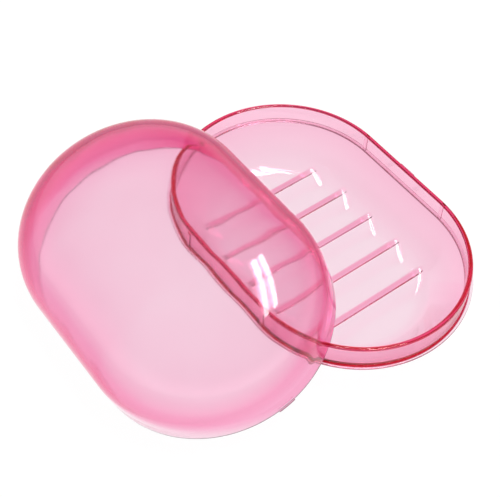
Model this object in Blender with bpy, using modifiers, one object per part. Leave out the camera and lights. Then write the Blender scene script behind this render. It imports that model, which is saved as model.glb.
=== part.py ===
"""Two-piece travel soap dish in clear pink plastic, opened.

A shallow stadium-shaped tray with a ridged floor stands on the ground. Its domed lid leans on it:
the lid's open rim rests on the tray's lip at two places and on the ground at a third.
"""
import math

import bmesh
import bpy
from mathutils import Matrix, Vector

MM = 0.001

# Plan outline shared by both pieces: two half circles joined by straight sides along X
HALF_STRAIGHT = 17.0 * MM
BODY_RADIUS = 38.0 * MM

# Tray: a flat floor, a straight wall whose slope is in degrees, a flange and an upright lip
TRAY_HEIGHT = 20.0 * MM
TRAY_FLOOR = 0.8 * MM
FLOOR_FILLET = 5.0 * MM
FOOT_FILLET = 6.0 * MM
WALL_SLOPE = 45.0
LIP_HEIGHT = 7.5 * MM
LIP_WALL = 1.3 * MM
LIP_DRAFT = 0.3 * MM
LIP_ROUNDING = 0.35 * MM
FLANGE_OVERHANG = 1.6 * MM
FLANGE_EDGE = 0.9 * MM
FLANGE_ROUNDING = 0.4 * MM

# Drainage ridges folded into the tray's floor, running across it. Each has a steep back towards -X and
# a long gentle front. Places are from the ridge's own middle
RIDGE_COUNT = 5
RIDGE_PITCH = 13.45 * MM
RIDGE_BACK = -3.5 * MM
RIDGE_CREST = -2.1 * MM
RIDGE_FRONT = 4.4 * MM
RIDGE_HEIGHT = 2.0 * MM
RIDGE_ROUNDING = 0.5 * MM

# The hollow under each ridge, which keeps the wall thin
HOLLOW_BACK = -1.4 * MM
HOLLOW_CREST = -0.75 * MM
HOLLOW_FRONT = 4.2 * MM
HOLLOW_HEIGHT = 1.5 * MM
HOLLOW_ROUNDING = 0.3 * MM

# Crush ribs on the outside of the lip, which grip the lid's skirt
CRUSH_RIB_X = 18.5 * MM
CRUSH_RIB_WIDTH = 1.4 * MM
CRUSH_RIB_PROUD = 0.5 * MM
CRUSH_RIB_LEAD_IN = 1.0 * MM

# Gate marks, where the sprues of the two mouldings were cut off: one in the middle of the tray's far
# side, and one on the end of the lid
GATE_WIDTH = 5.8 * MM
GATE_PROUD = 0.4 * MM
GATE_DEPTH = 1.3 * MM
GATE_SINK = 0.1 * MM
TRAY_GATE_X = 0.8 * MM

# Lid: an upright side with a superellipse dome over it
LID_WALL = 1.6 * MM
LID_CROWN_WALL = 1.2 * MM
LID_DOME_RISE = 23.5 * MM
LID_DOME_POWER = 2.5
LID_INNER_POWER = 2.38
SIDE_ABOVE_STEP = 0.2 * MM

# Fits of the closed box: wall to lip, skirt to crush ribs, and how far the lip's top passes the step
# inside the lid where the thinner skirt begins
LIP_CLEARANCE = 0.3 * MM
RIB_CLEARANCE = 0.2 * MM
LIP_PAST_STEP = 0.7 * MM

# How the lid leans: its rim's centre in plan from the tray's centre, its heading in degrees, the tilt
# in degrees that the search for its three rests starts from, and the gap at the two rests on the lip
LEAN_SHIFT_X = -9.8 * MM
LEAN_SHIFT_Y = -47.05 * MM
LEAN_HEADING = -1.08
LEAN_FIRST_TILT = 18.0
SEAT_GAP = 0.3 * MM

# Smoothness of the round forms
TURN_STEPS = 14
STRAIGHT_STEPS = 3
FILLET_STEPS = 4
EDGE_STEPS = 2
DOME_STEPS = 13
CREST_STEPS = 3

# Cutters run this far past what they cut, and added pieces sink this far into what carries them
OVERRUN = 2.0 * MM
BITE = 0.6 * MM
MERGE = 0.001 * MM

LID_INNER = BODY_RADIUS - LID_WALL
LIP_OUTER = LID_INNER - LIP_CLEARANCE
LIP_INNER = LIP_OUTER - LIP_WALL
FLANGE_Z = TRAY_HEIGHT - LIP_HEIGHT
SKIRT_INNER = LIP_OUTER + CRUSH_RIB_PROUD + RIB_CLEARANCE
SKIRT_DEPTH = LIP_HEIGHT - LIP_PAST_STEP
LID_SIDE_HEIGHT = SKIRT_DEPTH + SIDE_ABOVE_STEP

PLASTIC_COLOR = (0.90, 0.24, 0.47, 1.0)


def clear_scene():
    """Remove every object that the file starts with."""
    for item in list(bpy.data.objects):
        bpy.data.objects.remove(item, do_unlink=True)


def make_collection(name):
    """Return a new collection linked to the scene."""
    group = bpy.data.collections.new(name)
    bpy.context.scene.collection.children.link(group)
    return group


def clear_plastic(name):
    """Return the clear pink plastic that both mouldings are made of."""
    material = bpy.data.materials.new(name)
    material.use_nodes = True
    shader = material.node_tree.nodes["Principled BSDF"]
    shader.inputs["Base Color"].default_value = PLASTIC_COLOR
    shader.inputs["Roughness"].default_value = 0.08
    shader.inputs["Metallic"].default_value = 0.0
    shader.inputs["IOR"].default_value = 1.57
    shader.inputs["Transmission Weight"].default_value = 0.9
    return material


def link_mesh(bm, name, group):
    """Turn a bmesh into a smooth-shaded object in a collection."""
    mesh = bpy.data.meshes.new(name)
    bm.to_mesh(mesh)
    bm.free()
    item = bpy.data.objects.new(name, mesh)
    group.objects.link(item)
    mesh.shade_smooth()
    mesh.set_sharp_from_angle(angle=math.radians(30.0))
    return item


def hide_cutter(item):
    """Show a cutter as wire and keep it out of renders."""
    item.display_type = "WIRE"
    item.hide_render = True


def add_boolean(item, other, operation):
    """Cut an object by a cutter, or join the cutter to it."""
    step = item.modifiers.new(other.name, "BOOLEAN")
    step.object = other
    step.operation = operation
    step.solver = "EXACT"


def stadium_solid(name, section, group):
    """Carry a half section round the stadium outline.

    The section runs from the axis, down or up its outer side, and back to the axis. It is turned a
    quarter round the +X end, drawn straight to the middle, and mirrored on both planes of symmetry.
    """
    bm = bmesh.new()
    points = [bm.verts.new((HALF_STRAIGHT + r, 0.0, z)) for r, z in section]
    edges = [bm.edges.new(pair) for pair in zip(points, points[1:])]
    turned = bmesh.ops.spin(
        bm, geom=points + edges, cent=(HALF_STRAIGHT, 0.0, 0.0), axis=(0.0, 0.0, 1.0),
        angle=math.pi / 2, steps=TURN_STEPS,
    )
    front = [g for g in turned["geom_last"] if isinstance(g, bmesh.types.BMEdge)]
    for _ in range(STRAIGHT_STEPS):
        drawn = bmesh.ops.extrude_edge_only(bm, edges=front)
        moved = {g for g in drawn["geom"] if isinstance(g, bmesh.types.BMVert)}
        bmesh.ops.translate(bm, verts=list(moved), vec=(-HALF_STRAIGHT / STRAIGHT_STEPS, 0.0, 0.0))
        front = [g for g in drawn["geom"] if isinstance(g, bmesh.types.BMEdge) and moved.issuperset(g.verts)]
    bmesh.ops.remove_doubles(bm, verts=bm.verts, dist=MERGE)
    item = link_mesh(bm, name, group)
    mirror = item.modifiers.new("both_ways", "MIRROR")
    mirror.use_axis = (True, True, False)
    mirror.merge_threshold = MERGE
    return item


def arc_points(center, radius, start, stop, steps):
    """Points on an arc in a section, with angles in radians from straight down towards +r."""
    turns = [start + (stop - start) * i / steps for i in range(steps + 1)]
    return [(center[0] + radius * math.sin(t), center[1] - radius * math.cos(t)) for t in turns]


def bowl_points(low, top, fillet):
    """Points of one face of the bowl, from its top down the slope and a fillet to the flat at a level."""
    slope = math.radians(WALL_SLOPE)
    foot = top[0] - (top[1] - low) / math.tan(slope) - fillet * math.tan(slope / 2)
    return [top] + arc_points((foot, low + fillet), fillet, slope, 0.0, FILLET_STEPS)


def tray_outer_section():
    """Half section of the tray's outside: lip, flange, sloping wall and flat foot."""
    under = FLANGE_Z - FLANGE_EDGE
    corner = (BODY_RADIUS - FLANGE_ROUNDING, FLANGE_Z - FLANGE_ROUNDING)
    return [
        (0.0, TRAY_HEIGHT),
        (LIP_OUTER - LIP_ROUNDING, TRAY_HEIGHT),
        (LIP_OUTER, TRAY_HEIGHT - LIP_ROUNDING),
        (LIP_OUTER + LIP_DRAFT, FLANGE_Z),
    ] + arc_points(corner, FLANGE_ROUNDING, math.pi, math.pi / 2, EDGE_STEPS) + [
        (BODY_RADIUS, under),
    ] + bowl_points(0.0, (BODY_RADIUS - FLANGE_OVERHANG, under), FOOT_FILLET) + [(0.0, 0.0)]


def tray_core_section():
    """Half section of the tray's hollow: the lip's inner face, the sloping wall and the flat floor."""
    return [
        (0.0, TRAY_HEIGHT + OVERRUN),
        (LIP_INNER, TRAY_HEIGHT + OVERRUN),
    ] + bowl_points(TRAY_FLOOR, (LIP_INNER, FLANGE_Z), FLOOR_FILLET) + [(0.0, TRAY_FLOOR)]


def ridge_bar(name, group, base, feet, crest, rounding):
    """A bar across the floor whose top is a ridge: a steep back, a rounded crest and a gentle front.

    The base is the place that the ridge is measured from, the feet are its two ends across, and the
    crest is where its top would be without the rounding.
    """
    back, front = feet
    outline = [(front, -OVERRUN), (front, 0.0), crest, (back, 0.0), (back, -OVERRUN)]
    bm = bmesh.new()
    corners = [bm.verts.new((base[0] + u, -BODY_RADIUS, base[1] + w)) for u, w in outline]
    face = bm.faces.new(corners)
    drawn = bmesh.ops.extrude_face_region(bm, geom=[face])
    moved = [g for g in drawn["geom"] if isinstance(g, bmesh.types.BMVert)]
    bmesh.ops.translate(bm, verts=moved, vec=(0.0, 2.0 * BODY_RADIUS, 0.0))
    bmesh.ops.recalc_face_normals(bm, faces=bm.faces)
    top = max(vert.co.z for vert in bm.verts)
    along = [e for e in bm.edges if all(top - v.co.z < MERGE for v in e.verts)]
    bmesh.ops.bevel(bm, geom=along, offset=rounding, segments=CREST_STEPS, profile=0.5, affect="EDGES")
    item = link_mesh(bm, name, group)
    hide_cutter(item)
    return item


def block(name, group, low, high, place=Matrix.Identity(4)):
    """A box between two corners, turned and moved by a matrix."""
    bm = bmesh.new()
    bmesh.ops.create_cube(bm, size=1.0)
    size = [b - a for a, b in zip(low, high)]
    middle = [(a + b) / 2 for a, b in zip(low, high)]
    bmesh.ops.scale(bm, verts=bm.verts, vec=size)
    bmesh.ops.translate(bm, verts=bm.verts, vec=middle)
    bmesh.ops.transform(bm, matrix=place, verts=bm.verts)
    item = link_mesh(bm, name, group)
    hide_cutter(item)
    return item


def add_ridges(tray, core, group):
    """Fold the ridges into the floor: raised above the core's bottom, hollow from below."""
    for index in range(RIDGE_COUNT):
        x = (index - (RIDGE_COUNT - 1) / 2) * RIDGE_PITCH
        ridge = ridge_bar(
            f"ridge_{index + 1}", group, (x, TRAY_FLOOR), (RIDGE_BACK, RIDGE_FRONT),
            (RIDGE_CREST, RIDGE_HEIGHT), RIDGE_ROUNDING,
        )
        hollow = ridge_bar(
            f"ridge_hollow_{index + 1}", group, (x, 0.0), (HOLLOW_BACK, HOLLOW_FRONT),
            (HOLLOW_CREST, HOLLOW_HEIGHT), HOLLOW_ROUNDING,
        )
        add_boolean(core, ridge, "DIFFERENCE")
        add_boolean(tray, hollow, "DIFFERENCE")


def add_crush_ribs(tray, group):
    """Raise the four crush ribs, one near each end of the lip's straight sides."""
    top = TRAY_HEIGHT - CRUSH_RIB_LEAD_IN
    turn = math.asin(max(CRUSH_RIB_X - HALF_STRAIGHT, 0.0) / LIP_OUTER)
    arc_center = min(CRUSH_RIB_X, HALF_STRAIGHT)
    for number, (side_x, side_y) in enumerate(((1, 1), (-1, 1), (-1, -1), (1, -1)), start=1):
        angle = math.atan2(side_y * math.cos(turn), side_x * math.sin(turn))
        place = Matrix.Translation((side_x * arc_center, 0.0, 0.0)) @ Matrix.Rotation(angle, 4, "Z")
        low = (LIP_OUTER - BITE, -CRUSH_RIB_WIDTH / 2, FLANGE_Z - BITE)
        high = (LIP_OUTER + CRUSH_RIB_PROUD, CRUSH_RIB_WIDTH / 2, top)
        add_boolean(tray, block(f"crush_rib_{number}", group, low, high, place), "UNION")


def build_tray(parts, cutters, plastic):
    """The tray: a bowl with a ridged floor, a flange that the lid stands on and an upright lip."""
    tray = stadium_solid("tray", tray_outer_section(), parts)
    core = stadium_solid("tray_core", tray_core_section(), cutters)
    hide_cutter(core)
    add_ridges(tray, core, cutters)
    add_boolean(tray, core, "DIFFERENCE")
    add_crush_ribs(tray, cutters)
    gate_top = TRAY_HEIGHT - GATE_SINK
    low = (TRAY_GATE_X - GATE_WIDTH / 2, LIP_OUTER - BITE, gate_top - GATE_DEPTH)
    high = (TRAY_GATE_X + GATE_WIDTH / 2, LIP_OUTER + GATE_PROUD, gate_top)
    add_boolean(tray, block("tray_gate", cutters, low, high), "UNION")
    tray.data.materials.append(plastic)
    return tray


def dome_points(radius, rise, dome_power):
    """Points of a dome's half section, from the top of the axis down to the wall."""
    turns = [math.pi / 2 * i / DOME_STEPS for i in range(DOME_STEPS - 1, -1, -1)]
    power = 2.0 / dome_power
    return [(0.0, LID_SIDE_HEIGHT + rise)] + [
        (radius * math.cos(t) ** power, LID_SIDE_HEIGHT + rise * math.sin(t) ** power) for t in turns
    ]


def build_lid(parts, cutters, plastic):
    """The lid: a smooth dome over an upright side, with a thinner skirt that slips over the lip."""
    outside = dome_points(BODY_RADIUS, LID_DOME_RISE, LID_DOME_POWER)
    lid = stadium_solid("lid", outside + [(BODY_RADIUS, 0.0), (0.0, 0.0)], parts)
    inside = dome_points(LID_INNER, LID_DOME_RISE - LID_CROWN_WALL, LID_INNER_POWER)
    core = stadium_solid("lid_core", inside + [
        (LID_INNER, SKIRT_DEPTH),
        (SKIRT_INNER, SKIRT_DEPTH),
        (SKIRT_INNER, -OVERRUN),
        (0.0, -OVERRUN),
    ], cutters)
    hide_cutter(core)
    add_boolean(lid, core, "DIFFERENCE")
    end = HALF_STRAIGHT + BODY_RADIUS
    low = (end - BITE, -GATE_WIDTH / 2, GATE_SINK)
    high = (end + GATE_PROUD, GATE_WIDTH / 2, GATE_SINK + GATE_DEPTH)
    gate = block("lid_gate", cutters, low, high)
    add_boolean(lid, gate, "UNION")
    lid.data.materials.append(plastic)
    return lid, (core, gate)


def outline_distance(point, radius):
    """Distance in plan from a stadium outline about the origin, positive outside it."""
    reach = max(abs(point.x) - HALF_STRAIGHT, 0.0)
    return math.hypot(reach, point.y) - radius


def rim_point(radius, turn):
    """Point on the lid's rim plane, on its stadium outline at a turn about the rim's centre."""
    away = Vector((math.cos(turn), math.sin(turn), 0.0))
    low, high = 0.0, HALF_STRAIGHT + radius
    for _ in range(40):
        middle = (low + high) / 2
        if outline_distance(away * middle, radius) < 0.0:
            low = middle
        else:
            high = middle
    return away * low


def rests_on_lip(lean, side):
    """Where the skirt's inner edge crosses the lip's outer edge, on the side of the given sign."""
    low, high = -math.pi / 2, math.pi / 2
    for _ in range(40):
        middle = (low + high) / 2
        turn = middle if side > 0 else math.pi - middle
        if outline_distance(lean @ rim_point(SKIRT_INNER, turn), LIP_OUTER) > 0.0:
            low = middle
        else:
            high = middle
    return rim_point(SKIRT_INNER, middle if side > 0 else math.pi - middle)


def lean_matrix():
    """Place of the lid: its rim plane passes through its two rests on the lip and one on the ground.

    Each pass finds the three rests from the last plane, then turns the plane through them.
    """
    center = Vector((LEAN_SHIFT_X, LEAN_SHIFT_Y, TRAY_HEIGHT / 2))
    heading = math.radians(LEAN_HEADING)
    tilt = Matrix.Rotation(math.radians(LEAN_FIRST_TILT), 4, "X")
    lean = Matrix.Translation(center) @ Matrix.Rotation(heading, 4, "Z") @ tilt
    edge = [rim_point(BODY_RADIUS, 2.0 * math.pi * i / 720) for i in range(720)]
    for _ in range(30):
        rests = [rests_on_lip(lean, side) for side in (1, -1)]
        lowest = min(edge, key=lambda p: (lean @ p).z)
        places = [lean @ p for p in rests + [lowest]]
        heights = [TRAY_HEIGHT + SEAT_GAP, TRAY_HEIGHT + SEAT_GAP, 0.0]
        targets = [Vector((p.x, p.y, z)) for p, z in zip(places, heights)]
        normal = (targets[1] - targets[0]).cross(targets[2] - targets[0]).normalized()
        if normal.z < 0.0:
            normal = -normal
        along = Vector((math.cos(heading), math.sin(heading), 0.0))
        along.z = -along.dot(normal) / normal.z
        along.normalize()
        across = normal.cross(along)
        height = targets[0].z
        height -= ((center.x - targets[0].x) * normal.x + (center.y - targets[0].y) * normal.y) / normal.z
        lean = Matrix((along, across, normal)).transposed().to_4x4()
        lean.translation = (center.x, center.y, height)
    return lean


def footprint_center(items):
    """Centre in plan of the box round some objects, as their modifiers leave them."""
    bpy.context.view_layer.update()
    depsgraph = bpy.context.evaluated_depsgraph_get()
    points = []
    for item in items:
        evaluated = item.evaluated_get(depsgraph)
        points += [evaluated.matrix_world @ vertex.co for vertex in evaluated.data.vertices]
    spans = [(min(p[k] for p in points), max(p[k] for p in points)) for k in (0, 1)]
    return [(low + high) / 2 for low, high in spans]


def main():
    clear_scene()
    parts = make_collection("soap_dish")
    cutters = make_collection("cutters")
    plastic = clear_plastic("clear_pink_plastic")
    tray = build_tray(parts, cutters, plastic)
    lid, lid_cutters = build_lid(parts, cutters, plastic)
    pair = bpy.data.objects.new("pair_center", None)
    seat = bpy.data.objects.new("lid_seat", None)
    for empty in (pair, seat):
        parts.objects.link(empty)
    seat.matrix_world = lean_matrix()
    seat.parent = pair
    lid.parent = seat
    for cutter in lid_cutters:
        cutter.parent = seat
    for item in [tray] + [c for c in cutters.objects if c not in lid_cutters]:
        item.parent = pair
    middle = footprint_center((tray, lid))
    pair.location = (-middle[0], -middle[1], 0.0)


main()
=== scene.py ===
"""Dresses the opened two-piece soap box: clear pink moulded plastic on a white table.

Both mouldings are rebuilt as fine closed meshes on the frame's own places: a tray with a ridged
floor, and a domed lid that leans on the tray's lip. Their colour comes from the depth of plastic
that light crosses, so edges and folds glow deeper than the broad walls do; on the lid's shoulder a
painted deeper shade, stronger towards the outline, is laid on top of that.
"""

import logging
import math
from collections.abc import Iterable
from dataclasses import dataclass, field
from enum import Enum

import bmesh
import bpy
from mathutils import Euler, Matrix, Vector


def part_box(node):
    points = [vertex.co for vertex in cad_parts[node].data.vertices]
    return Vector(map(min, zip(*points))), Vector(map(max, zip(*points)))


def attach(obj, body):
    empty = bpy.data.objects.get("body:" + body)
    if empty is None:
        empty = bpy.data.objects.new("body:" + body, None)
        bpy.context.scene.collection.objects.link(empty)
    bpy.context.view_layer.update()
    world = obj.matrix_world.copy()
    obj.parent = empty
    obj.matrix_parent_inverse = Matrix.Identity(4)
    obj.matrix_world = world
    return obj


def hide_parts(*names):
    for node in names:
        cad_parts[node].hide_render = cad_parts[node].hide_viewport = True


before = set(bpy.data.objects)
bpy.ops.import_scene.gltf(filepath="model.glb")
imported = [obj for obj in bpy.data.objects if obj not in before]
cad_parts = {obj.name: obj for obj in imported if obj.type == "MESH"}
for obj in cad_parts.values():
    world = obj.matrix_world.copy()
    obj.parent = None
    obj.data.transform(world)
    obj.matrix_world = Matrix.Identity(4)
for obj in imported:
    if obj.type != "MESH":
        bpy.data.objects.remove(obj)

MM = 0.001
LOG = logging.getLogger("soap_dish")

# Steps round a rounded corner of a section, and round a smaller one.
CORNER_STEPS = 6
EDGE_STEPS = 4
# The slope's width round a raised mark, and how far off a face may be and still be found.
HAIR = 0.02 * MM
# Edges sharper than this, in degrees, stay sharp.
SHARP_ANGLE = 40.0
# Light turns back many times inside the walls before it leaves them.
LIGHT_BOUNCES = 32

# A point of a section, as distance from the end's axis and height.
Point = tuple[float, float]
# The two ends of a range, or a pair of like numbers.
Pair = tuple[float, float]
Triple = tuple[float, float, float]
WHITE: Triple = (1.0, 1.0, 1.0)


class Body(Enum):
    """The two loose mouldings, by the names of their nodes in the frame."""

    TRAY = "tray"
    LID = "lid"


def arc(center: Point, radius: float, start: float, stop: float, steps: int) -> list[Point]:
    """Points on an arc of a section.

    Args:
        center: The arc's centre, as distance from the end's axis and height.
        radius: The arc's radius.
        start: First angle in degrees, from straight down towards the outside.
        stop: Last angle in degrees.
        steps: Number of steps between them.

    Returns:
        The arc's points, both ends included.
    """
    turns = [math.radians(start + (stop - start) * i / steps) for i in range(steps + 1)]
    return [(center[0] + radius * math.sin(t), center[1] - radius * math.cos(t)) for t in turns]


def run(start: Point, stop: Point, steps: int) -> list[Point]:
    """Points on a straight stretch of a section, without its first point.

    Args:
        start: Where the stretch starts.
        stop: Where it ends.
        steps: Number of steps between them.

    Returns:
        The points after the first.
    """
    return [
        (start[0] + (stop[0] - start[0]) * i / steps, start[1] + (stop[1] - start[1]) * i / steps)
        for i in range(1, steps + 1)
    ]


def smooth_max(a: float, b: float, width: float) -> float:
    """The larger of two heights, with a fillet where they cross.

    Args:
        a: One height.
        b: The other height.
        width: How far apart the two are where the fillet starts.

    Returns:
        The blended height.
    """
    near = max(width - abs(a - b), 0.0) / width
    return max(a, b) + near * near * width / 4


def smooth_min(a: float, b: float, width: float) -> float:
    """The smaller of two heights, with a rounded crest where they cross."""
    return -smooth_max(-a, -b, width)


@dataclass
class Stadium:
    """The plan outline of both mouldings: two half circles joined by straight sides along X.

    Attributes:
        half_straight: From the middle to the axis of either end.
        merge: Distance under which two vertices become one.
    """

    half_straight: float = 17.0 * MM
    merge: float = 0.001 * MM

    def reach(self, point: Vector) -> float:
        """Distance in plan from the middle line that the outline is drawn round."""
        return math.hypot(max(abs(point.x) - self.half_straight, 0.0), point.y)

    def carry_round(
        self, section: list[Point], turns: Iterable[tuple[float, int]], rows: int,
    ) -> bmesh.types.BMesh:
        """Carry a section round the outline.

        Args:
            section: The half section, from the axis round the wall and back to the axis.
            turns: Stretches of the quarter turn from the +X end towards +Y, as degrees and steps.
            rows: Steps along the straight side, from the end's axis to the middle.

        Returns:
            A closed shell as a bmesh.
        """
        bm = bmesh.new()
        points = [bm.verts.new((self.half_straight + r, 0.0, z)) for r, z in section]
        front = [bm.edges.new(pair) for pair in zip(points, points[1:])]
        for degrees, steps in turns:
            ends = list(dict.fromkeys(v for e in front for v in e.verts))
            spun = bmesh.ops.spin(
                bm, geom=front + ends, cent=(self.half_straight, 0.0, 0.0), axis=(0.0, 0.0, 1.0),
                angle=math.radians(degrees), steps=steps,
            )
            front = [g for g in spun["geom_last"] if isinstance(g, bmesh.types.BMEdge)]
        for _ in range(rows):
            drawn = bmesh.ops.extrude_edge_only(bm, edges=front)["geom"]
            moved = [g for g in drawn if isinstance(g, bmesh.types.BMVert)]
            step = (-self.half_straight / rows, 0.0, 0.0)
            bmesh.ops.translate(bm, verts=moved, vec=step)
            fresh = set(moved)
            edges = (g for g in drawn if isinstance(g, bmesh.types.BMEdge))
            front = [edge for edge in edges if fresh.issuperset(edge.verts)]
        bmesh.ops.remove_doubles(bm, verts=bm.verts, dist=self.merge)
        for axis in ("X", "Y"):
            quarter = bm.verts[:] + bm.edges[:] + bm.faces[:]
            bmesh.ops.mirror(bm, geom=quarter, axis=axis, merge_dist=self.merge)
        bmesh.ops.remove_doubles(bm, verts=bm.verts, dist=self.merge)
        bmesh.ops.recalc_face_normals(bm, faces=bm.faces)
        return bm


def raise_patch(bm: bmesh.types.BMesh, faces: list[bmesh.types.BMFace], proud: float) -> None:
    """Raise a patch of faces straight out, with a hair's slope round it.

    Args:
        bm: The mesh that holds the faces.
        faces: The patch.
        proud: How far it stands out.
    """
    bmesh.ops.inset_region(
        bm, faces=faces, use_boundary=True, use_even_offset=True, thickness=HAIR, depth=proud,
    )


def finish_piece(bm: bmesh.types.BMesh, name: str) -> bpy.types.Object:
    """Turn a finished bmesh into a smooth-shaded object at the origin.

    Args:
        bm: The mesh, in the frame's own place.
        name: The object's name.

    Returns:
        The linked object.
    """
    mesh = bpy.data.meshes.new(name)
    bm.to_mesh(mesh)
    bm.free()
    mesh.shade_smooth()
    mesh.set_sharp_from_angle(angle=math.radians(SHARP_ANGLE))
    item = bpy.data.objects.new(name, mesh)
    bpy.context.scene.collection.objects.link(item)
    weighted = item.modifiers.new("even_shading", "WEIGHTED_NORMAL")
    weighted.keep_sharp = True
    return item


def add_range(
    tree: bpy.types.NodeTree, value: bpy.types.NodeSocket, span: Pair, result: Pair,
) -> bpy.types.Node:
    """Add a node that maps one span of a value to another, held at both ends.

    Args:
        tree: The node tree to add to.
        value: The socket that gives the value.
        span: The value's two ends.
        result: What they become.

    Returns:
        The node, whose output is Result.
    """
    node = tree.nodes.new("ShaderNodeMapRange")
    tree.links.new(value, node.inputs["Value"])
    for name, number in zip(("From Min", "From Max", "To Min", "To Max"), (*span, *result)):
        node.inputs[name].default_value = number
    return node


def add_product(
    tree: bpy.types.NodeTree, first: bpy.types.NodeSocket, second: bpy.types.NodeSocket,
) -> bpy.types.NodeSocket:
    """Add a node that multiplies two values.

    Args:
        tree: The node tree to add to.
        first: The socket that gives one value.
        second: The socket that gives the other.

    Returns:
        The socket that gives the product.
    """
    node = tree.nodes.new("ShaderNodeMath")
    node.operation = "MULTIPLY"
    tree.links.new(first, node.inputs[0])
    tree.links.new(second, node.inputs[1])
    return node.outputs["Value"]


@dataclass(frozen=True)
class FlowMarks:
    """What moulding and handling leave on both pieces: soft waves, and the haze of fine rubs.

    Attributes:
        name: The node group's name.
        wave_scale: How many waves there are to the metre.
        wave_detail: How rough the waves are.
        rub_scale: How many rubs there are to the metre, before the stretch.
        rub_detail: How broken the rubs are.
        rub_stretch: How much closer the rubs are along each axis.
        rub_span: Values of the noise between which clean plastic turns to rubbed.
    """

    name: str = "flow_marks"
    wave_scale: float = 120.0
    wave_detail: float = 1.0
    rub_scale: float = 2.0
    rub_detail: float = 4.0
    rub_stretch: Triple = (300.0, 40.0, 300.0)
    rub_span: Pair = (0.35, 0.8)

    def build(self) -> bpy.types.NodeTree:
        """Make the shared node group, or find it once it is made.

        Returns:
            The group. Polish and Rubbed are the roughness of clean and of rubbed plastic, Haze is
            the roughness that results, and Height is the waves.
        """
        if self.name in bpy.data.node_groups:
            return bpy.data.node_groups[self.name]
        group = bpy.data.node_groups.new(self.name, "ShaderNodeTree")
        for way, names in (("INPUT", ("Polish", "Rubbed")), ("OUTPUT", ("Haze", "Height"))):
            for name in names:
                group.interface.new_socket(name, in_out=way, socket_type="NodeSocketFloat")
        nodes, links = group.nodes, group.links
        place = nodes.new("ShaderNodeTexCoord")
        waves = nodes.new("ShaderNodeTexNoise")
        waves.inputs["Scale"].default_value = self.wave_scale
        waves.inputs["Detail"].default_value = self.wave_detail
        stretch = nodes.new("ShaderNodeMapping")
        stretch.inputs["Scale"].default_value = self.rub_stretch
        rubs = nodes.new("ShaderNodeTexNoise")
        rubs.inputs["Scale"].default_value = self.rub_scale
        rubs.inputs["Detail"].default_value = self.rub_detail
        haze = add_range(group, rubs.outputs["Fac"], self.rub_span, (0.0, 1.0))
        given = nodes.new("NodeGroupInput")
        result = nodes.new("NodeGroupOutput")
        links.new(place.outputs["Object"], waves.inputs["Vector"])
        links.new(place.outputs["Object"], stretch.inputs["Vector"])
        links.new(stretch.outputs["Vector"], rubs.inputs["Vector"])
        links.new(given.outputs["Polish"], haze.inputs["To Min"])
        links.new(given.outputs["Rubbed"], haze.inputs["To Max"])
        links.new(haze.outputs["Result"], result.inputs["Haze"])
        links.new(waves.outputs["Fac"], result.inputs["Height"])
        return group


@dataclass(frozen=True)
class PaintedEdgeShade:
    """A painted deeper pink on the dome's shoulder: painted shade in the surface colour, standing
    in for light that runs along inside the wall.

    It grows as the surface turns away from the eye, and is left off the skirt below the shoulder.
    The -X end and the side by the tray get stronger painted shade.

    Attributes:
        shoulder: The painted shade halfway.
        edge: The painted shade at the very outline.
        grows: Turns away from the eye, nought to one, at which it starts, is halfway and is full.
        rise_span: Heights between which it comes in above the skirt.
        end_span: Places along X between which the -X end's gain fades.
        end_gain: How much stronger the painted shade is at the -X end.
        side_span: Places along Y between which the gain of the side by the tray comes in.
        side_gain: How much stronger the painted shade is on that side.
    """

    shoulder: Triple = (0.96, 0.42, 0.64)
    edge: Triple = (0.92, 0.04, 0.34)
    grows: Triple = (0.14, 0.42, 0.85)
    rise_span: Pair = (7.0 * MM, 17.0 * MM)
    end_span: Pair = (-62.0 * MM, -25.0 * MM)
    end_gain: float = 1.25
    side_span: Pair = (-5.0 * MM, 8.0 * MM)
    side_gain: float = 1.4

    def strength(self, tree: bpy.types.NodeTree) -> bpy.types.NodeSocket:
        """Add the nodes that say how strong the painted shade is.

        Args:
            tree: The material's node tree.

        Returns:
            The socket that gives the strength.
        """
        facing = tree.nodes.new("ShaderNodeLayerWeight")
        facing.inputs["Blend"].default_value = 0.5
        place = tree.nodes.new("ShaderNodeTexCoord")
        split = tree.nodes.new("ShaderNodeSeparateXYZ")
        tree.links.new(place.outputs["Object"], split.inputs["Vector"])
        above = add_range(tree, split.outputs["Z"], self.rise_span, (0.0, 1.0))
        end = add_range(tree, split.outputs["X"], self.end_span, (self.end_gain, 1.0))
        side = add_range(tree, split.outputs["Y"], self.side_span, (1.0, self.side_gain))
        shown = add_product(tree, facing.outputs["Facing"], above.outputs["Result"])
        gain = add_product(tree, end.outputs["Result"], side.outputs["Result"])
        return add_product(tree, shown, gain)

    def color(self, tree: bpy.types.NodeTree) -> bpy.types.NodeSocket:
        """Add the painted shade's nodes to a material.

        Args:
            tree: The material's node tree.

        Returns:
            The socket that gives the colour, white where there is no painted shade.
        """
        start, middle, full = self.grows
        node = tree.nodes.new("ShaderNodeValToRGB")
        ramp = node.color_ramp
        ramp.elements[0].position = start
        ramp.elements[0].color = (*WHITE, 1.0)
        ramp.elements[1].position = full
        ramp.elements[1].color = (*self.edge, 1.0)
        ramp.elements.new(middle).color = (*self.shoulder, 1.0)
        tree.links.new(self.strength(tree), node.inputs["Fac"])
        return node.outputs["Color"]


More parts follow.
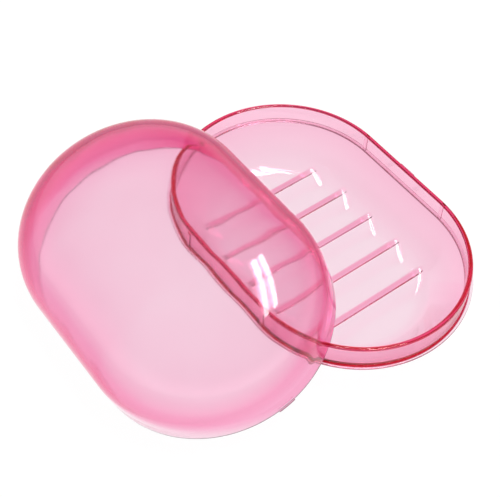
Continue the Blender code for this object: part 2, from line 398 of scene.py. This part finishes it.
@dataclass(frozen=True)
class ClearPlastic:
    """Transparent pink polystyrene, tinted through its depth; colourless at the surface, except
    where a painted edge shade is laid on.

    Attributes:
        name: The material's name.
        tint: What the inside lets through, per channel.
        density: How strongly it takes the rest, per metre.
        ior: The index of refraction.
        polish: Roughness where the surface is clean.
        rubbed: Roughness where it is rubbed.
        wave_depth: Depth of the waves that the mould's flow leaves.
        edge: The shoulder's painted deeper shade, where the piece has one.
    """

    name: str
    tint: Triple
    density: float = 350.0
    ior: float = 1.57
    polish: float = 0.05
    rubbed: float = 0.11
    wave_depth: float = 0.02 * MM
    edge: PaintedEdgeShade | None = None

    def build(self) -> bpy.types.Material:
        """Build the material with its surface and its tinted inside.

        Returns:
            The material.
        """
        material = bpy.data.materials.new(self.name)
        material.use_nodes = True
        tree = material.node_tree
        shader = tree.nodes["Principled BSDF"]
        shader.inputs["Base Color"].default_value = (*WHITE, 1.0)
        shader.inputs["IOR"].default_value = self.ior
        shader.inputs["Transmission Weight"].default_value = 1.0
        # The surface colour takes the painted edge shade, where the piece has one.
        if self.edge is not None:
            tree.links.new(self.edge.color(tree), shader.inputs["Base Color"])
        marks = tree.nodes.new("ShaderNodeGroup")
        marks.node_tree = FlowMarks().build()
        marks.inputs["Polish"].default_value = self.polish
        marks.inputs["Rubbed"].default_value = self.rubbed
        bump = tree.nodes.new("ShaderNodeBump")
        bump.inputs["Distance"].default_value = self.wave_depth
        inside = tree.nodes.new("ShaderNodeVolumeAbsorption")
        inside.inputs["Color"].default_value = (*self.tint, 1.0)
        inside.inputs["Density"].default_value = self.density
        tree.links.new(marks.outputs["Height"], bump.inputs["Height"])
        tree.links.new(bump.outputs["Normal"], shader.inputs["Normal"])
        tree.links.new(marks.outputs["Haze"], shader.inputs["Roughness"])
        tree.links.new(inside.outputs["Volume"], tree.nodes["Material Output"].inputs["Volume"])
        return material


@dataclass(frozen=True)
class Fold:
    """One face of a ridge in the floor: a steep back, a rounded crest and a long gentle front.

    Attributes:
        back: Place of the back's foot, from the ridge's own middle.
        crest: Place of the crest.
        front: Place of the front's foot.
        height: Height of the crest, before it is rounded.
        crest_round: Height over which the crest is rounded.
        line_gap: Gap between the lines that the mesh gets where the face bends.
        past_crest: How far past the crest those lines go on.
        lines_before: How many of them come before the back's foot.
        lines_at_front: How many come on each side of the front's foot.
    """

    back: float
    crest: float
    front: float
    height: float
    crest_round: float
    line_gap: float = 0.2 * MM
    past_crest: float = 0.8 * MM
    lines_before: int = 2
    lines_at_front: int = 4

    def height_at(self, x: float) -> float:
        """Height over the flat floor, falling below nought past both feet.

        Args:
            x: Place across the ridge, from the ridge's own middle.

        Returns:
            The height of the face there.
        """
        steep = (x - self.back) * self.height / (self.crest - self.back)
        gentle = (self.front - x) * self.height / (self.front - self.crest)
        return smooth_min(steep, gentle, self.crest_round)

    def bend_lines(self) -> list[float]:
        """Places of the lines that the mesh needs where the face bends.

        Returns:
            The lines along the back and the crest, and then those at the front's foot.
        """
        count = round((self.crest + self.past_crest - self.back) / self.line_gap)
        at_back = [self.back + i * self.line_gap for i in range(-self.lines_before, count)]
        front = range(-self.lines_at_front, self.lines_at_front)
        return at_back + [self.front + i * self.line_gap for i in front]


@dataclass(frozen=True)
class BowlFace:
    """A face of the bowl's section: a flat, a fillet and a slope that runs up to a given point.

    Attributes:
        low: Height of the flat.
        top: Where the slope ends.
        fillet: Radius between the flat and the slope.
        slope: The slope's angle in degrees.
        flat_rows: Steps over the flat.
        curve_rows: Steps round the fillet.
        slope_rows: Steps up the slope.
    """

    low: float
    top: Point
    fillet: float
    slope: float
    flat_rows: int = 24
    curve_rows: int = 12
    slope_rows: int = 12

    @property
    def foot(self) -> float:
        """Radius at which the flat ends and the fillet starts."""
        slope = math.radians(self.slope)
        sloped = self.top[0] - (self.top[1] - self.low) / math.tan(slope)
        return sloped - self.fillet * math.tan(slope / 2)

    def points(self) -> list[Point]:
        """Points of the face, from the flat's start beside the axis up to the top.

        Returns:
            The points, without the one on the axis.
        """
        flat = run((0.0, self.low), (self.foot, self.low), self.flat_rows)
        center = (self.foot, self.low + self.fillet)
        curve = arc(center, self.fillet, 0.0, self.slope, self.curve_rows)
        return flat + curve[1:] + run(curve[-1], self.top, self.slope_rows)


@dataclass
class Tray:
    """The bottom half: a bowl with a ridged floor, a flange and an upright lip."""

    # The plan outline, and the mesh's rows round it: stretches of the quarter turn in degrees and
    # steps, finer over the last few degrees, where the crush ribs stand, and rows along the side.
    outline: Stadium
    end_turns: tuple[tuple[float, int], ...] = ((84.0, 44), (6.0, 14))
    straight_rows: int = 30

    # The bowl: its floor and foot, the slopes of its two faces, and the crease under the lip.
    height: float = 20.0 * MM
    floor: float = 0.8 * MM
    floor_fillet: float = 8.0 * MM
    foot_fillet: float = 8.0 * MM
    wall_slope: float = 46.0
    outer_slope: float = 43.0
    wall_top: float = 36.8 * MM
    crease_round: float = 0.3 * MM

    # The lip that the lid's skirt fits over.
    lip_outer: float = 36.21 * MM
    lip_wall: float = 1.5 * MM
    lip_height: float = 7.5 * MM
    lip_draft: float = 0.05 * MM
    lip_round: float = 0.59 * MM

    # The flange that the lid's rim sits on.
    flange_outer: float = 37.53 * MM
    flange_edge: float = 0.7 * MM
    flange_round: float = 0.15 * MM
    flange_corner: float = 0.22 * MM
    flange_cove: float = 0.73 * MM

    # The ridges, the hollows beneath them, and the fillets at their feet.
    ridge_count: int = 5
    ridge_pitch: float = 13.45 * MM
    ridge_top: Fold = Fold(-3.5 * MM, -2.1 * MM, 4.4 * MM, 2.0 * MM, 0.8 * MM)
    ridge_under: Fold = Fold(-1.4 * MM, -0.75 * MM, 3.5 * MM, 1.5 * MM, 0.3 * MM)
    ridge_fillet: float = 0.25 * MM
    under_fillet: float = 0.3 * MM

    # Where a ridge runs out into the wall its fillet grows, from a place inside the floor's edge.
    run_out_fillet: float = 1.0 * MM
    run_out_before: float = 4.8 * MM
    run_out_length: float = 8.0 * MM

    # What the ridges may fold: up to this far past the floor's edge, and this far up the wall.
    fold_reach: float = 9.0 * MM
    fold_rise: float = 4.0 * MM
    cut_tolerance: float = 0.01 * MM

    # The crush ribs and the gate mark on the lip's outer side.
    rib_x: float = 18.5 * MM
    rib_width: float = 1.4 * MM
    rib_proud: float = 0.4 * MM
    rib_lead_in: float = 1.0 * MM
    gate_x: float = 0.8 * MM
    gate_width: float = 5.8 * MM
    gate_depth: float = 1.3 * MM
    gate_proud: float = 0.3 * MM
    gate_sink: float = 0.1 * MM

    @property
    def lip_inner(self) -> float:
        """Radius of the lip's inner face."""
        return self.lip_outer - self.lip_wall

    @property
    def flange_z(self) -> float:
        """Height of the flange's top."""
        return self.height - self.lip_height

    @property
    def gate_top(self) -> float:
        """Height of the gate mark's upper edge."""
        return self.height - self.gate_sink

    @property
    def inner_bowl(self) -> BowlFace:
        """The bowl's inner face, from the floor up to the lip."""
        top = (self.lip_inner, self.flange_z)
        return BowlFace(self.floor, top, self.floor_fillet, self.wall_slope)

    def section(self) -> list[Point]:
        """The tray's half section.

        Returns:
            The points, from the foot's middle round the outside and back over the floor.
        """
        cove, under = self.flange_cove, self.flange_z - self.flange_edge
        slope = math.radians(self.outer_slope)
        tangent = cove * math.tan(slope / 2)
        wall_end = (self.wall_top - tangent * math.cos(slope), under - tangent * math.sin(slope))
        cove_center = (self.wall_top + tangent, under - cove)
        points = [(0.0, 0.0)]
        points += BowlFace(0.0, wall_end, self.foot_fillet, self.outer_slope).points()
        points += arc(cove_center, cove, 180.0 + self.outer_slope, 180.0, CORNER_STEPS)[1:]
        points += self.flange_section(under)
        points += self.lip_section()
        points += self.inner_bowl.points()[::-1][1:]
        points += [(0.0, self.floor)]
        return points

    def flange_section(self, under: float) -> list[Point]:
        """The flange's part of the section.

        Args:
            under: Height of the flange's underside.

        Returns:
            The points, from its lower edge round to the fillet at the lip's root.
        """
        edge, corner, ledge = self.flange_round, self.flange_corner, self.flange_z
        root = self.lip_outer + self.lip_draft
        points = arc((self.flange_outer - edge, under + edge), edge, 0.0, 90.0, EDGE_STEPS)
        top_corner = (self.flange_outer - corner, ledge - corner)
        points += arc(top_corner, corner, 90.0, 180.0, CORNER_STEPS)
        points += arc((root + edge, ledge + edge), edge, 0.0, -90.0, EDGE_STEPS)
        return points

    def lip_section(self) -> list[Point]:
        """The lip's part of the section.

        Returns:
            The points, from the gate mark's lower edge over the top to the crease in the bowl.
        """
        top, lip, crease = self.height, self.lip_round, self.crease_round
        slope = math.radians(self.wall_slope)
        points = [(self.lip_outer, self.gate_top - self.gate_depth)]
        points += arc((self.lip_outer - lip, top - lip), lip, 90.0, 180.0, CORNER_STEPS)
        points += arc((self.lip_inner + lip, top - lip), lip, 180.0, 270.0, CORNER_STEPS)
        turn = (self.lip_inner - crease, self.flange_z + crease * math.tan(slope / 2))
        points += arc(turn, crease, 90.0, self.wall_slope, EDGE_STEPS)
        return points

    def ridge_middles(self) -> list[float]:
        """Places of the ridges' middles along the tray."""
        first = -(self.ridge_count - 1) / 2
        return [(first + i) * self.ridge_pitch for i in range(self.ridge_count)]

    def on_floor(self, point: Vector) -> bool:
        """Whether a point lies on the floor or on the low part of the bowl's wall."""
        wide = self.inner_bowl.foot + self.fold_reach
        return point.z < self.floor + self.fold_rise and self.outline.reach(point) < wide

    def cut_fold_lines(self, bm: bmesh.types.BMesh) -> None:
        """Cut lines across both faces of the floor where the ridges bend, for crisp folds.

        Args:
            bm: The tray's mesh, with its middle at the origin.
        """
        across = Vector((1.0, 0.0, 0.0))
        for middle in self.ridge_middles():
            for fold, upward in ((self.ridge_top, True), (self.ridge_under, False)):
                facing = ((f, f.calc_center_median()) for f in bm.faces
                          if (f.normal.z > 0.0) == upward)
                band = [f for f, spot in facing
                        if self.on_floor(spot) and abs(spot.x - middle) < self.ridge_pitch / 2]
                geom = list(dict.fromkeys(g for f in band for g in (f, *f.edges, *f.verts)))
                for line in fold.bend_lines():
                    geom = bmesh.ops.bisect_plane(
                        bm, geom=geom, dist=self.cut_tolerance,
                        plane_co=across * (middle + line), plane_no=across,
                    )["geom"]

    def fold_floor(self, bm: bmesh.types.BMesh) -> None:
        """Raise the ridges on both faces of the floor, with fillets where they run out.

        Args:
            bm: The tray's mesh, with its middle at the origin and its fold lines cut.
        """
        run_out = self.inner_bowl.foot - self.run_out_before
        for vert in [v for v in bm.verts if self.on_floor(v.co)]:
            away = min((vert.co.x - middle for middle in self.ridge_middles()), key=abs)
            if vert.normal.z > 0.0:
                outwards = (self.outline.reach(vert.co) - run_out) / self.run_out_length
                fillet = self.ridge_fillet + self.run_out_fillet * min(max(outwards, 0.0), 1.0)
                raised = self.floor + self.ridge_top.height_at(away)
                vert.co.z = smooth_max(vert.co.z, raised, fillet)
            else:
                raised = self.ridge_under.height_at(away)
                vert.co.z = smooth_max(vert.co.z, raised, self.under_fillet)

    def lip_faces(
        self, bm: bmesh.types.BMesh, low: float, high: float,
    ) -> list[bmesh.types.BMFace]:
        """Find the faces of the lip's outer side between two heights.

        Args:
            bm: The tray's mesh, with its middle at the origin.
            low: The lower height.
            high: The upper height.

        Returns:
            The faces whose middles lie between them.
        """
        spots = ((f, f.calc_center_median()) for f in bm.faces)
        return [
            f for f, spot in spots
            if low - HAIR < spot.z < high
            and -HAIR < self.outline.reach(spot) - self.lip_outer < self.lip_draft + HAIR
        ]

    def raise_marks(self, bm: bmesh.types.BMesh) -> None:
        """Raise the four crush ribs and the gate mark from the lip's outer side.

        Args:
            bm: The tray's mesh, with its middle at the origin.
        """
        lip_foot, rib_top = self.flange_z + self.flange_round, self.height - self.rib_lead_in
        ribs = [
            f for f in self.lip_faces(bm, lip_foot, rib_top)
            if abs(abs(f.calc_center_median().x) - self.rib_x) < self.rib_width / 2
        ]
        gate = [
            f for f in self.lip_faces(bm, self.gate_top - self.gate_depth, self.gate_top)
            if abs(f.calc_center_median().x - self.gate_x) < self.gate_width / 2
            and f.calc_center_median().y > 0.0
        ]
        raise_patch(bm, ribs, self.rib_proud)
        raise_patch(bm, gate, self.gate_proud)

    def build(self, place: Vector) -> bpy.types.Object:
        """Build the tray's mesh at its place.

        Args:
            place: The middle of the tray's foot in the frame.

        Returns:
            The tray's object.
        """
        bm = self.outline.carry_round(self.section(), self.end_turns, self.straight_rows)
        self.raise_marks(bm)
        bm.normal_update()
        self.cut_fold_lines(bm)
        bm.normal_update()
        self.fold_floor(bm)
        bmesh.ops.translate(bm, verts=bm.verts, vec=place)
        return finish_piece(bm, "clear_tray")


@dataclass
class Lid:
    """The top half: an upright side, a domed top, and a thinner skirt below a step inside."""

    # The plan outline, and the mesh's rows round it and along the section.
    outline: Stadium
    end_turns: tuple[tuple[float, int], ...] = ((90.0, 64),)
    straight_rows: int = 24
    dome_rows: int = 60
    side_rows: int = 6
    skirt_rows: int = 5
    blend_rows: int = 9

    # The side and the dome. A dome's power says how square its shoulder is, with 2 for an ellipse.
    radius: float = 38.0 * MM
    wall: float = 1.6 * MM
    crown_wall: float = 1.3 * MM
    side_height: float = 7.0 * MM
    dome_rise: float = 23.5 * MM
    dome_power: float = 2.5
    inner_power: float = 2.45
    rim_round: float = 0.3 * MM

    # The thinner skirt, and the blend up to the full wall.
    skirt_inner: float = 36.95 * MM
    skirt_depth: float = 4.5 * MM
    skirt_blend: float = 5.0 * MM

    # The gate mark beside the rim, and how far back from the end its faces reach.
    gate_width: float = 5.8 * MM
    gate_top: float = 1.45 * MM
    gate_proud: float = 0.4 * MM
    gate_reach: float = 0.5 * MM

    # The waves that the flow of plastic leaves in the inner face: their depth and length, how far
    # the rows along X and along Y sway, how close the second are, how fast they sway, and the
    # height over which all of them come in.
    wave: float = 0.03 * MM
    wave_length: float = 17.0 * MM
    wave_sway_x: float = 0.6
    wave_sway_y: float = 0.5
    wave_close_y: float = 0.8
    wave_sway_rate: float = 1.3
    wave_fade: float = 10.0 * MM

    def dome(self, radius: float, rise: float, power: float) -> list[Point]:
        """Points of a dome's half section.

        Args:
            radius: The side's radius.
            rise: The dome's height over the side.
            power: How square the dome's shoulder is.

        Returns:
            The points, from the top down to the side.
        """
        share = 2.0 / power
        turns = [math.pi / 2 * i / self.dome_rows for i in range(self.dome_rows, -1, -1)]
        return [
            (radius * max(math.cos(t), 0.0) ** share if t < math.pi / 2 else 0.0,
             self.side_height + rise * math.sin(t) ** share)
            for t in turns
        ]

    def section(self) -> list[Point]:
        """The lid's half section.

        Returns:
            The points, from the crown down the outside and back up the inside.
        """
        edge, skirt, inner = self.rim_round, self.skirt_inner, self.radius - self.wall
        points = self.dome(self.radius, self.dome_rise, self.dome_power)
        points += run(points[-1], (self.radius, edge), self.side_rows)
        points += arc((self.radius - edge, edge), edge, 90.0, 0.0, EDGE_STEPS)[1:]
        points += arc((skirt + edge, edge), edge, 0.0, -90.0, EDGE_STEPS)
        points += run((skirt, edge), (skirt, self.skirt_depth), self.skirt_rows)
        for i in range(1, self.blend_rows):
            ease = (1.0 - math.cos(math.pi * i / self.blend_rows)) / 2
            rise = self.skirt_depth + self.skirt_blend * i / self.blend_rows
            points += [(skirt + (inner - skirt) * ease, rise)]
        ceiling = self.dome(inner, self.dome_rise - self.crown_wall, self.inner_power)[::-1]
        points += [p for p in ceiling if p[1] > self.skirt_depth + self.skirt_blend]
        return points

    def wave_inside(self, bm: bmesh.types.BMesh) -> None:
        """Give the dome's inner face the soft waves of a wall that cooled unevenly.

        Args:
            bm: The lid's mesh, on its own axes.
        """
        turn = 2.0 * math.pi / self.wave_length
        for vert in [v for v in bm.verts if v.co.z > self.side_height and v.normal.z < 0.0]:
            x, y = vert.co.x * turn, vert.co.y * turn
            along = x + self.wave_sway_x * math.sin(y)
            sway = self.wave_sway_y * math.sin(self.wave_sway_rate * x)
            across = self.wave_close_y * y + sway
            fade = min((vert.co.z - self.side_height) / self.wave_fade, 1.0) ** 2
            ripple = math.sin(along) * math.cos(across)
            vert.co += vert.normal * (self.wave * ripple * fade)

    def raise_gate(self, bm: bmesh.types.BMesh) -> None:
        """Raise the gate mark beside the rim, on the side's +X end.

        Args:
            bm: The lid's mesh, on its own axes.
        """
        end = self.outline.half_straight + self.radius
        spots = ((f, f.calc_center_median()) for f in bm.faces)
        gate = [
            f for f, spot in spots
            if spot.x > end - self.gate_reach and self.rim_round < spot.z < self.gate_top
            and abs(spot.y) < self.gate_width / 2
        ]
        raise_patch(bm, gate, self.gate_proud)

    def build(self, place: Matrix) -> bpy.types.Object:
        """Build the lid's mesh where it leans.

        Args:
            place: From the lid's own axes, with the rim at nought, to the frame.

        Returns:
            The lid's object.
        """
        bm = self.outline.carry_round(self.section(), self.end_turns, self.straight_rows)
        self.wave_inside(bm)
        self.raise_gate(bm)
        bmesh.ops.transform(bm, matrix=place, verts=bm.verts)
        return finish_piece(bm, "clear_lid")


@dataclass
class SoapBox:
    """The whole object: the tray, and the lid leaning on it.

    Attributes:
        lean_shift: From the tray's middle to the lid's rim centre, in plan.
        lean_height: Height of the lid's rim centre.
        lean_turn: The lid's turns about X, Y and Z in degrees.
        plastics: Each moulding's plastic.
    """

    lean_shift: Pair = (-9.8 * MM, -47.05 * MM)
    lean_height: float = 12.459 * MM
    lean_turn: Triple = (18.069, -2.034, -1.08)
    plastics: dict[Body, ClearPlastic] = field(default_factory=lambda: {
        Body.TRAY: ClearPlastic("clear_pink_tray", (0.96, 0.1375, 0.5)),
        # The lid's plastic also carries the painted shade on its shoulder.
        Body.LID: ClearPlastic("clear_pink_lid", (0.93, 0.1375, 0.5), edge=PaintedEdgeShade()),
    })

    def tray_place(self) -> Vector:
        """The middle of the tray's foot, from the frame's own box."""
        low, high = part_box(Body.TRAY.value)
        return Vector(((low[0] + high[0]) / 2, (low[1] + high[1]) / 2, 0.0))

    def lid_place(self) -> Matrix:
        """Where the lid leans.

        Returns:
            The turn and the shift from the lid's own axes to the frame.
        """
        turn = Euler([math.radians(a) for a in self.lean_turn], "XYZ").to_matrix().to_4x4()
        shift = Vector((*self.lean_shift, self.lean_height))
        return Matrix.Translation(self.tray_place() + shift) @ turn

    def build(self) -> dict[Body, bpy.types.Object]:
        """Build both mouldings and put them on their bodies.

        Returns:
            Each moulding's object by its body.
        """
        outline = Stadium()
        made = {
            Body.TRAY: Tray(outline).build(self.tray_place()),
            Body.LID: Lid(outline).build(self.lid_place()),
        }
        for body, item in made.items():
            item.data.materials.append(self.plastics[body].build())
            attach(item, body.value)
            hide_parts(body.value)
        return made


@dataclass(frozen=True)
class LitTable:
    """The finish of a white table lit from below, dimmer far off and towards its horizon.

    Attributes:
        white: How much light it throws back.
        roughness: How dull it is.
        glow: How much light it gives.
        fall_span: Distances between which it dims.
        fall: Its share of light past them.
        slant_span: Turns away from the eye, nought to one, between which it dims.
        slant: Its share of light past them.
    """

    white: float = 0.08
    roughness: float = 0.6
    glow: float = 0.97
    fall_span: Pair = (0.30, 0.90)
    fall: float = 0.8
    slant_span: Pair = (0.38, 0.75)
    slant: float = 0.62

    def build(self) -> bpy.types.Material:
        """Build the table's material.

        Returns:
            The material.
        """
        material = bpy.data.materials.new("white_table")
        material.use_nodes = True
        tree = material.node_tree
        shader = tree.nodes["Principled BSDF"]
        shader.inputs["Base Color"].default_value = (self.white, self.white, self.white, 1.0)
        shader.inputs["Roughness"].default_value = self.roughness
        shader.inputs["Specular IOR Level"].default_value = 0.0
        shader.inputs["Emission Strength"].default_value = self.glow
        place = tree.nodes.new("ShaderNodeTexCoord")
        length = tree.nodes.new("ShaderNodeVectorMath")
        length.operation = "LENGTH"
        tree.links.new(place.outputs["Object"], length.inputs[0])
        fall = add_range(tree, length.outputs["Value"], self.fall_span, (1.0, self.fall))
        fall.interpolation_type = "SMOOTHSTEP"
        facing = tree.nodes.new("ShaderNodeLayerWeight")
        facing.inputs["Blend"].default_value = 0.5
        beam = add_range(tree, facing.outputs["Facing"], self.slant_span, (1.0, self.slant))
        light = add_product(tree, fall.outputs["Result"], beam.outputs["Result"])
        tree.links.new(light, shader.inputs["Emission Color"])
        return material


@dataclass(frozen=True)
class Pane:
    """A long narrow softbox overhead, which shows as one bar of the lid's highlight.

    Attributes:
        name: The lamp's name.
        lean: How far it stands towards +Y for each metre of distance.
        side: The same towards +X.
        rise: The same upwards.
        distance: From the target to the lamp, nearly.
        target: The point that it faces.
        size: Its length and width.
        power: Its power in watts.
    """

    name: str
    lean: float
    side: float = 0.03
    rise: float = 0.95
    distance: float = 1.2
    target: Triple = (29.0 * MM, -15.0 * MM, 44.5 * MM)
    size: Pair = (0.80, 0.09)
    power: float = 3.2

    def hang(self) -> bpy.types.Object:
        """Hang the lamp so that it faces its target.

        Returns:
            The lamp's object.
        """
        data = bpy.data.lights.new(self.name, "AREA")
        data.shape = "RECTANGLE"
        data.size, data.size_y = self.size
        data.energy = self.power
        away = Vector((self.side, self.lean, self.rise)) * self.distance
        item = bpy.data.objects.new(self.name, data)
        item.location = Vector(self.target) + away
        item.rotation_mode = "QUATERNION"
        item.rotation_quaternion = away.to_track_quat("Z", "Y")
        bpy.context.scene.collection.objects.link(item)
        return item


@dataclass
class Studio:
    """White table, soft light and the camera of the photograph."""

    # The camera, with its angles in degrees and its focal length and sensor in millimetres.
    azimuth: float = 50.30
    elevation: float = 51.42
    roll: float = 3.26
    distance: float = 352.41 * MM
    aim: Triple = (-2.48 * MM, -25.40 * MM, 20.0 * MM)
    focal: float = 83.32
    sensor: float = 36.0

    # The table, the white screen round it, the dimmer ceiling and the lamps.
    table_size: float = 3.0
    table_gap: float = 0.05 * MM
    table_finish: LitTable = LitTable()
    screen_top: float = 0.15
    ceiling_from: float = 0.45
    ceiling: float = 0.35
    panes: tuple[Pane, ...] = (Pane("near_pane", 0.195), Pane("far_pane", 0.335))

    def lay_table(self) -> bpy.types.Object:
        """Lay the glowing white table just under the object.

        Returns:
            The table's object.
        """
        bm = bmesh.new()
        bmesh.ops.create_grid(bm, x_segments=1, y_segments=1, size=self.table_size)
        bmesh.ops.translate(bm, verts=bm.verts, vec=(0.0, 0.0, -self.table_gap))
        item = finish_piece(bm, "white_table")
        item.data.materials.append(self.table_finish.build())
        return item

    def light_sky(self) -> None:
        """Fill the room with soft light: a white screen round the table, a dimmer ceiling."""
        world = bpy.data.worlds.new("studio")
        world.use_nodes = True
        tree = world.node_tree
        place = tree.nodes.new("ShaderNodeTexCoord")
        split = tree.nodes.new("ShaderNodeSeparateXYZ")
        ramp = tree.nodes.new("ShaderNodeValToRGB")
        ramp.color_ramp.elements[0].position = self.screen_top
        ramp.color_ramp.elements[0].color = (*WHITE, 1.0)
        ramp.color_ramp.elements[1].position = self.ceiling_from
        ramp.color_ramp.elements[1].color = (self.ceiling, self.ceiling, self.ceiling, 1.0)
        tree.links.new(place.outputs["Generated"], split.inputs["Vector"])
        tree.links.new(split.outputs["Z"], ramp.inputs["Fac"])
        tree.links.new(ramp.outputs["Color"], tree.nodes["Background"].inputs["Color"])
        bpy.context.scene.world = world

    def stand_camera(self, origin: Vector) -> bpy.types.Object:
        """Stand the camera at the photograph's angle.

        Args:
            origin: The tray's place, which the aim starts from.

        Returns:
            The camera's object.
        """
        turn, rise = math.radians(self.azimuth), math.radians(self.elevation)
        right = Vector((math.cos(turn), math.sin(turn), 0.0))
        level = Vector((math.sin(turn), -math.cos(turn), 0.0)) * math.cos(rise)
        back = level + Vector((0.0, 0.0, math.sin(rise)))
        up = back.cross(right)
        tilt = math.radians(self.roll)
        side = right * math.cos(tilt) + up * math.sin(tilt)
        top = up * math.cos(tilt) - right * math.sin(tilt)
        data = bpy.data.cameras.new("photo_camera")
        data.lens = self.focal
        data.sensor_width = self.sensor
        item = bpy.data.objects.new("photo_camera", data)
        item.matrix_world = Matrix((side, top, back)).transposed().to_4x4()
        item.location = origin + Vector(self.aim) + back * self.distance
        bpy.context.scene.collection.objects.link(item)
        bpy.context.scene.camera = item
        return item

    def set_light_paths(self) -> None:
        """Let light bounce often enough inside the plastic, and show colours as they are."""
        scene = bpy.context.scene
        scene.view_settings.view_transform = "Standard"
        scene.cycles.max_bounces = LIGHT_BOUNCES
        scene.cycles.transmission_bounces = LIGHT_BOUNCES
        scene.cycles.glossy_bounces = LIGHT_BOUNCES

    def build(self, origin: Vector) -> None:
        """Set up the whole studio round the object.

        Args:
            origin: The tray's place, which the camera's aim starts from.
        """
        self.lay_table()
        self.light_sky()
        for pane in self.panes:
            pane.hang()
        self.stand_camera(origin)
        self.set_light_paths()


def main() -> None:
    """Build the object and its studio, and report each piece."""
    logging.basicConfig(level=logging.INFO)
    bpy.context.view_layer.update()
    box = SoapBox()
    made = box.build()
    for body, item in made.items():
        LOG.info("%s stands for %s: %d faces", item.name, body.value, len(item.data.polygons))
    Studio().build(box.tray_place())


if __name__ == "__main__":
    main()
